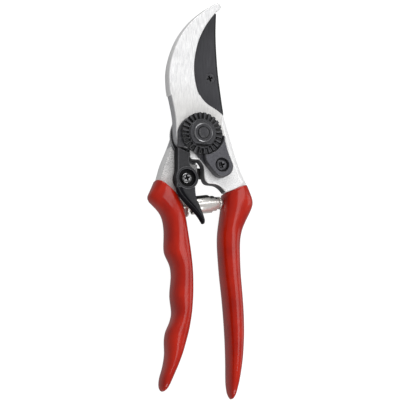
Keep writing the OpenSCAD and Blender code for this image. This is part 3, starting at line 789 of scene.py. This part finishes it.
def make_screw(node, body, material, front, recess, seat, shank_low, countersunk=False):
    """A screw: a head with a cross recess down to its floor, and a plain shank. front, seat and shank_low
    are levels, and recess is a depth, in mm."""
    floor = front - recess
    if countersunk:
        top, bottom, foot, edge_part = (ROUND, 0.12, 0.12), (BEVEL, 1.1, 1.3), floor, 2
    else:
        top, bottom, foot, edge_part = (ROUND, 1.3, 0.75), (ROUND, 0.15, 0.15), seat, 0
    bm = bmesh.new()
    # The head's wall, its cross recess and the floor inside it get painted shade
    add_layer(bm, outlines(node, front - 0.05, step=0.2, passes=1), floor, front, top=top, bottom=bottom,
              parts=(0, 0, 1, edge_part, 0))
    if not countersunk:
        add_layer(bm, outlines(node, (seat + floor) / 2, step=0.3), seat, floor + 0.02, shrink=SLIVER,
                  top=(ROUND, 0.05, 0.05), parts=(0, 0, 0, 1, 1))
    add_layer(bm, outlines(node, shank_low + 1, step=0.3), shank_low, foot + 0.05, parts=(0, 0, 0, 1, 1))
    make_piece(bm, node + "_head", body, [material, PIT_PAINTED_SHADE, OXIDE_EDGE], [node])


# ---------------------------------------------------------------- thumb latch

def clipped(loop, lowest):
    """The part of an outline above a line, closed straight along it."""
    if all(p.y > lowest for p in loop):
        return loop
    n = len(loop)
    first = next(i for i in range(n) if loop[i].y > lowest and loop[i - 1].y <= lowest)
    run = []
    while loop[(first + len(run)) % n].y > lowest:
        run.append(loop[(first + len(run)) % n])
    return smooth_outline(run, passes=2)


def width_at(loop, y):
    """Where a level line crosses an outline, from left to right."""
    found = []
    for a, b in zip(loop, loop[1:] + loop[:1]):
        if (a.y > y) != (b.y > y):
            found.append(a.x + (y - a.y) / (b.y - a.y) * (b.x - a.x))
    return min(found), max(found)


TAIL_STATIONS = 64
# Tail of the latch, in mm: how much fuller than its outline each side is, how high its ridge rises,
# how deep its groove and its left facet are, and how far its tip sinks over the last stretch
TAIL_FULLER, RIDGE_RISE, GROOVE_DEEP, FACET_FALL, TIP_SINK = 0.35, 0.25, 0.7, 1.5, 1.1
TIP_LONG = 2.5
# Stretches of its section that don't have the plain coating: painted shade on its sides, left facet and
# groove, and a painted highlight on the thumb pad's edge
TAIL_PARTS = {**dict.fromkeys((0, 1, 2, 3, 6, 7, 12, 13), 3), 11: 1}


def tail_section(share, tip):
    """Points round the tail as (share of its width, level), from its left foot over to its right one.
    share grows from 0 at the hub to 1 at the end, and tip falls from 1 at the last stretch."""
    ridge = min(0.5, 0.06 + 0.5 * share)
    sink = TIP_SINK * (1 - tip)
    crest = LATCH_FRONT + RIDGE_RISE * math.sin(math.pi * min(1, share * 1.3)) - sink
    pad = LATCH_FRONT - 0.1 - sink
    fall = FACET_FALL * min(1, share * 4) * tip
    groove = GROOVE_DEEP * math.sin(math.pi * min(1, share * 1.5)) * tip
    left = [(0.02, LATCH_TAIL_BACK + 0.35), (0, LATCH_TAIL_BACK + 0.7), (0.01, crest - fall - 0.3),
            (0.04, crest - fall)]
    top = [(ridge - 0.03, crest - 0.08), (ridge, crest), (ridge + 0.04, crest - 0.08),
           (ridge + 0.12, pad - groove), (ridge + 0.24, pad - 0.35 * groove), (ridge + 0.36, pad),
           (0.9, pad)]
    right = [(0.965, pad - 0.12), (0.995, pad - 0.45), (1, LATCH_TAIL_BACK + 0.7),
             (0.98, LATCH_TAIL_BACK + 0.35), (0.9, LATCH_TAIL_BACK), (0.1, LATCH_TAIL_BACK)]
    return left + top + right


def add_tail(bm, loop, start):
    """The latch's tail: a ridge over a facet on the left, a groove beside it and a flat thumb pad, with
    painted shade on the facet and groove.
    """
    end = min(p.y for p in loop) + 0.12
    rings = []
    for k in range(TAIL_STATIONS + 1):
        y = start + (end - start) * math.sin(math.pi / 2 * k / TAIL_STATIONS)
        share = (start - y) / (start - end)
        fuller = TAIL_FULLER * min(1, 3 * share) * min(1, max(0, y - end)) ** 0.5
        left, right = width_at(loop, y)
        left -= fuller
        wide = right + fuller - left
        section = tail_section(share, tip=min(1.0, (y - end) / TIP_LONG + 0.12))
        rings.append([bm.verts.new(((left + wide * u) * MM, y * MM, max(z, LATCH_TAIL_BACK) * MM))
                      for u, z in section])
    bridge(bm, rings, lambda k, i: TAIL_PARTS.get(i, 0), capped=True)


# Where the latch's hub ends and where its tail begins, which reach into each other, in mm
HUB_END, TAIL_START = -30.2, -29


def make_latch():
    """Thumb latch: an arm with its nose in the notch, a counterbored hub and the shaped tail."""
    front = outlines("thumb_latch", LATCH_FRONT - 1.2)
    bm = bmesh.new()
    # The counterbore's floor, the hub's walls and the tail's underside get painted shade
    add_layer(bm, outlines("thumb_latch", LATCH_BACK + 1.9), LATCH_BACK, LATCH_SEAT,
              top=(ROUND, 0.05, 0.05), bottom=(ROUND, 0.4, 0.4), shrink=SLIVER, parts=(0, 0, 3, 2, 2))
    add_layer(bm, [clipped(loop, HUB_END) for loop in front], LATCH_TAIL_BACK, LATCH_FRONT,
              top=(BEVEL, 0.5, 0.45), bottom=(ROUND, 0.2, 0.2), parts=(2, 0, 3, 1, 0))
    add_layer(bm, outlines("thumb_latch", LATCH_HUB - 0.2), LATCH_FRONT - 2 * OVERLAP, LATCH_HUB,
              top=(BEVEL, 0.3, 0.28), bottom=(ROUND, 0.1, 0.1), shrink=2 * SLIVER, parts=(0, 0, 2, 1, 0))
    add_tail(bm, max(front, key=signed_area), TAIL_START)
    bmesh.ops.recalc_face_normals(bm, faces=bm.faces)
    make_piece(bm, "thumb_latch_lever", LATCH_BODY, [LATCH, LATCH_PAINTED_HIGHLIGHT, PIT_PAINTED_SHADE, LATCH_PAINTED_SHADE],
               ["thumb_latch"])


# ---------------------------------------------------------------- grips

# Points round a grip, and the power of its section: 2 is an ellipse, and more is squarer
GRIP_SIDES, SQUARENESS = 72, 2.5
# Rim of a grip, in mm: its rounding, how far in its flat end reaches, and how far its slant lives on
RIM_ROUND, RIM_INSET, RIM_EASE = 0.7, 2.4, 22
# Steps between the sections read from the CAD grip and between the rings of the loft, in mm, and
# the last of each by their distance from the butt's end
SAMPLE_STEP, RING_STEP = 1.2, 0.9
BUTT_SAMPLES = (4, 3, 2.2, 1.6, 1.1, 0.7, 0.4, 0.2, 0.02)
BUTT_RINGS = (4, 3.2, 2.5, 1.9, 1.4, 1, 0.7, 0.45, 0.25, 0.12, 0.03)
# Passes after which a slanted ring's points and a rim's middle have settled
RING_PASSES, RIM_PASSES = 6, 8


def bulge(c):
    """Turns a cosine or sine of an ellipse into that of the squarer section."""
    return math.copysign(abs(c) ** (2 / SQUARENESS), c)


def extents(node, y):
    """Lowest and highest x and z of a CAD node where it crosses a level of y, in mm."""
    mesh = NODES[node].data
    places = [v.co / MM for v in mesh.vertices]
    found = []
    for e in mesh.edges:
        a, b = places[e.vertices[0]], places[e.vertices[1]]
        if (a.y > y) != (b.y > y):
            found.append(a.lerp(b, (y - a.y) / (b.y - a.y)))
    xs = [p.x for p in found]
    zs = [p.z for p in found]
    return [min(xs), max(xs), min(zs), max(zs)]


def sample_grip(node, whole, inner):
    """Levels along a CAD grip, from its rim to its butt, and its extents at each. Above whole the rim
    cuts it, so the inner side is carried on from below."""
    low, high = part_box(node)
    butt, top = low.y / MM, high.y / MM
    levels = [top - 0.3 - i for i in range(int(top - whole))]
    levels += [whole - SAMPLE_STEP * i for i in range(int((whole - butt - BUTT_SAMPLES[0]) / SAMPLE_STEP))]
    levels += [butt + distance for distance in BUTT_SAMPLES]
    levels.sort(reverse=True)
    rows = [extents(node, y) for y in levels]
    first = next(i for i, y in enumerate(levels) if y <= whole)
    for i in range(first):
        lift = (levels[i] - levels[first]) / (levels[first] - levels[first + 3])
        rows[i][inner] = rows[first][inner] + lift * (rows[first][inner] - rows[first + 3][inner])
        rows[i][2:] = rows[first][2:]
    smoothed = [rows[i] if i in (0, len(rows) - 1) or levels[i] < butt + 5 else
                [(rows[i - 1][k] + 2 * rows[i][k] + rows[i + 1][k]) / 4 for k in range(4)]
                for i in range(len(rows))]
    return levels, smoothed


def extents_between(levels, rows, y):
    """Extents of a sampled grip at any level."""
    y = min(max(y, levels[-1]), levels[0])
    i = next(i for i in range(len(levels) - 1) if levels[i + 1] <= y)
    t = (levels[i] - y) / (levels[i] - levels[i + 1])
    return [a + (b - a) * t for a, b in zip(rows[i], rows[i + 1])]


def grip_ring(section, y, tilt, pinch=0, drop=0):
    """Points round a grip. section gives its extents at a level, tilt slants the ring across it, pinch
    draws the ring in and drop lowers it."""
    points = []
    middle = sum(section(y)[:2]) / 2
    for i in range(GRIP_SIDES):
        a = math.tau * i / GRIP_SIDES
        x = middle
        for _ in range(RING_PASSES):
            at = y - drop + tilt * (x - middle)
            x0, x1, z0, z1 = section(at)
            x = (x0 + x1) / 2 + max(0.05, (x1 - x0) / 2 - pinch) * bulge(math.cos(a))
        z = (z0 + z1) / 2 + max(0.05, (z1 - z0) / 2 - pinch) * bulge(math.sin(a))
        points.append(Vector((x, at, z)))
    return points


def make_grip(node, body, rim, slope, whole, outer_is_low):
    """A grip lofted through the CAD grip's own sections, from its slanted rim to its round butt.
    rim is a point of the rim's line, and whole is the first level that the rim doesn't cut."""
    levels, rows = sample_grip(node, whole, inner=1 if outer_is_low else 0)

    def section(y):
        return extents_between(levels, rows, y)

    rim_x, rim_y = rim
    top = rim_y
    for _ in range(RIM_PASSES):
        x0, x1 = section(top)[:2]
        top = rim_y + slope * ((x0 + x1) / 2 - rim_x)
    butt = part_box(node)[0].y / MM
    start = top - RIM_ROUND
    rings = [grip_ring(section, top, slope, RIM_INSET)]
    rings += [grip_ring(section, top, slope, RIM_ROUND * share, RIM_ROUND * drop)
              for share, drop in ROUND[::-1]]
    stations = [start - RING_STEP * i for i in range(1, int((start - butt - BUTT_RINGS[0]) / RING_STEP))]
    stations += [butt + distance for distance in BUTT_RINGS]
    for y in stations:
        ease = min(1, (top - y) / RIM_EASE)
        rings.append(grip_ring(section, y, slope * (1 - ease * ease * (3 - 2 * ease))))
    bm = bmesh.new()
    made = [[bm.verts.new(p * MM) for p in points] for points in rings]
    bridge(bm, made)
    for points, forward in ((made[0], 1), (made[-1], -1)):
        centre = bm.verts.new(sum((v.co for v in points), Vector()) / GRIP_SIDES)
        for i in range(GRIP_SIDES):
            bm.faces.new((centre, points[(i + 1) % GRIP_SIDES], points[i])[::forward])
    bmesh.ops.recalc_face_normals(bm, faces=bm.faces)
    make_piece(bm, node + "_vinyl", body, [RED], [node], sharp=60)


# ---------------------------------------------------------------- spring and small parts

# Axis of the spring, from its wide end at the left to its narrow end at the right, in mm
SPRING_FROM = Vector((-5.6, -38, 8.7))
SPRING_TO = Vector((14.6, -34.7, 8.7))
SPRING_WIDE, SPRING_NARROW = 5.3, 2.9
SPRING_END = 1.0
STRIP_THICK, STRIP_WIDE, STRIP_SOFT = 0.6, 11.5, 0.18
SPRING_TURNS, STEPS_PER_TURN = 3, 48
SPRING_EASE = 1.7
# Faces whose normal leans more than this toward the tip and toward the front get the painted reflection of
# the latch
TIPWARD, FRONTWARD = 0.62, 0.1


def spring_axis():
    """Turns the Z axis into the spring's own, with its start at the wide end."""
    run = (SPRING_TO - SPRING_FROM).normalized()
    side = Vector((0, 0, 1))
    turn = Matrix((-side, run.cross(-side), run)).transposed().to_4x4()
    return Matrix.Translation(SPRING_FROM) @ turn


def make_spring():
    """Conical spring of a flat strip with rounded edges, whose turns slide into each other."""
    axis = spring_axis()
    steps = STEPS_PER_TURN * SPRING_TURNS
    start = SPRING_END
    end = (SPRING_TO - SPRING_FROM).length - SPRING_END - STRIP_WIDE
    soft, slight = STRIP_SOFT, STRIP_SOFT * 0.3
    # The strip's section: how far out from its outer face and how far along the axis each point is
    section = [(0, soft), (0, STRIP_WIDE - soft), (-slight, STRIP_WIDE - slight), (-soft, STRIP_WIDE),
               (-STRIP_THICK + soft, STRIP_WIDE), (-STRIP_THICK, STRIP_WIDE - soft), (-STRIP_THICK, soft),
               (-STRIP_THICK + soft, 0), (-soft, 0), (-slight, slight)]
    bm = bmesh.new()
    rings = []
    for k in range(steps + 1):
        t = k / steps
        angle = math.tau * SPRING_TURNS * t
        radius = SPRING_WIDE + (SPRING_NARROW - SPRING_WIDE) * t
        along = start + (end - start) * (1 - (1 - t) ** SPRING_EASE)
        ring = []
        for outward, onward in section:
            reach = radius + outward
            place = Vector((reach * math.cos(angle), reach * math.sin(angle), along + onward))
            ring.append(bm.verts.new((axis @ place) * MM))
        rings.append(ring)
    bridge(bm, rings, capped=True)
    bmesh.ops.recalc_face_normals(bm, faces=bm.faces)
    bm.normal_update()
    for face in bm.faces:
        # The painted dark reflection goes on the faces toward the tip
        face.material_index = 1 if face.normal.y > TIPWARD and face.normal.z > FRONTWARD else 0
    spring = make_piece(bm, "spring_strip", None, [CHROME, CHROME_PAINTED_REFLECTION], ["spring"],
                        sharp=50)
    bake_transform(spring)


# ---------------------------------------------------------------- the whole tool

make_camera()
make_lights()
make_floor(CAD_BOX[0].z)
make_hook_lever()
make_blade_lever()
make_blade()
make_counter_blade()
make_bolt()
make_nut()
make_washer()
make_stop_plate()
make_segment()
make_screw("blade_screw", BLADE_BODY, OXIDE, front=11.5, recess=1.6, seat=9.9, shank_low=3.6,
           countersunk=True)
make_screw("latch_screw", BLADE_BODY, SCREW, front=18.8, recess=1.2, seat=17.2, shank_low=5)
make_screw("segment_screw", HOOK_BODY, DULL_SCREW, front=22.7, recess=1.2, seat=SEGMENT_SEAT,
           shank_low=12.5)
make_latch()
make_grip("blade_grip", BLADE_BODY, rim=(-21.4, -25.2), slope=-0.74, whole=-35, outer_is_low=True)
make_grip("hook_grip", HOOK_BODY, rim=(14.3, -30.7), slope=0.4228, whole=-31, outer_is_low=False)
make_spring()
softened_copy("blade_spring_peg", "blade_peg_turned", BLADE_BODY, CHROME, 0.15)
softened_copy("hook_spring_peg", "hook_peg_turned", HOOK_BODY, CHROME, 0.15)
softened_copy("latch_spacer", "latch_spacer_ring", BLADE_BODY, STEEL, 0.1)
softened_copy("bumper", "bumper_pad", HOOK_BODY, RUBBER, 0.35)
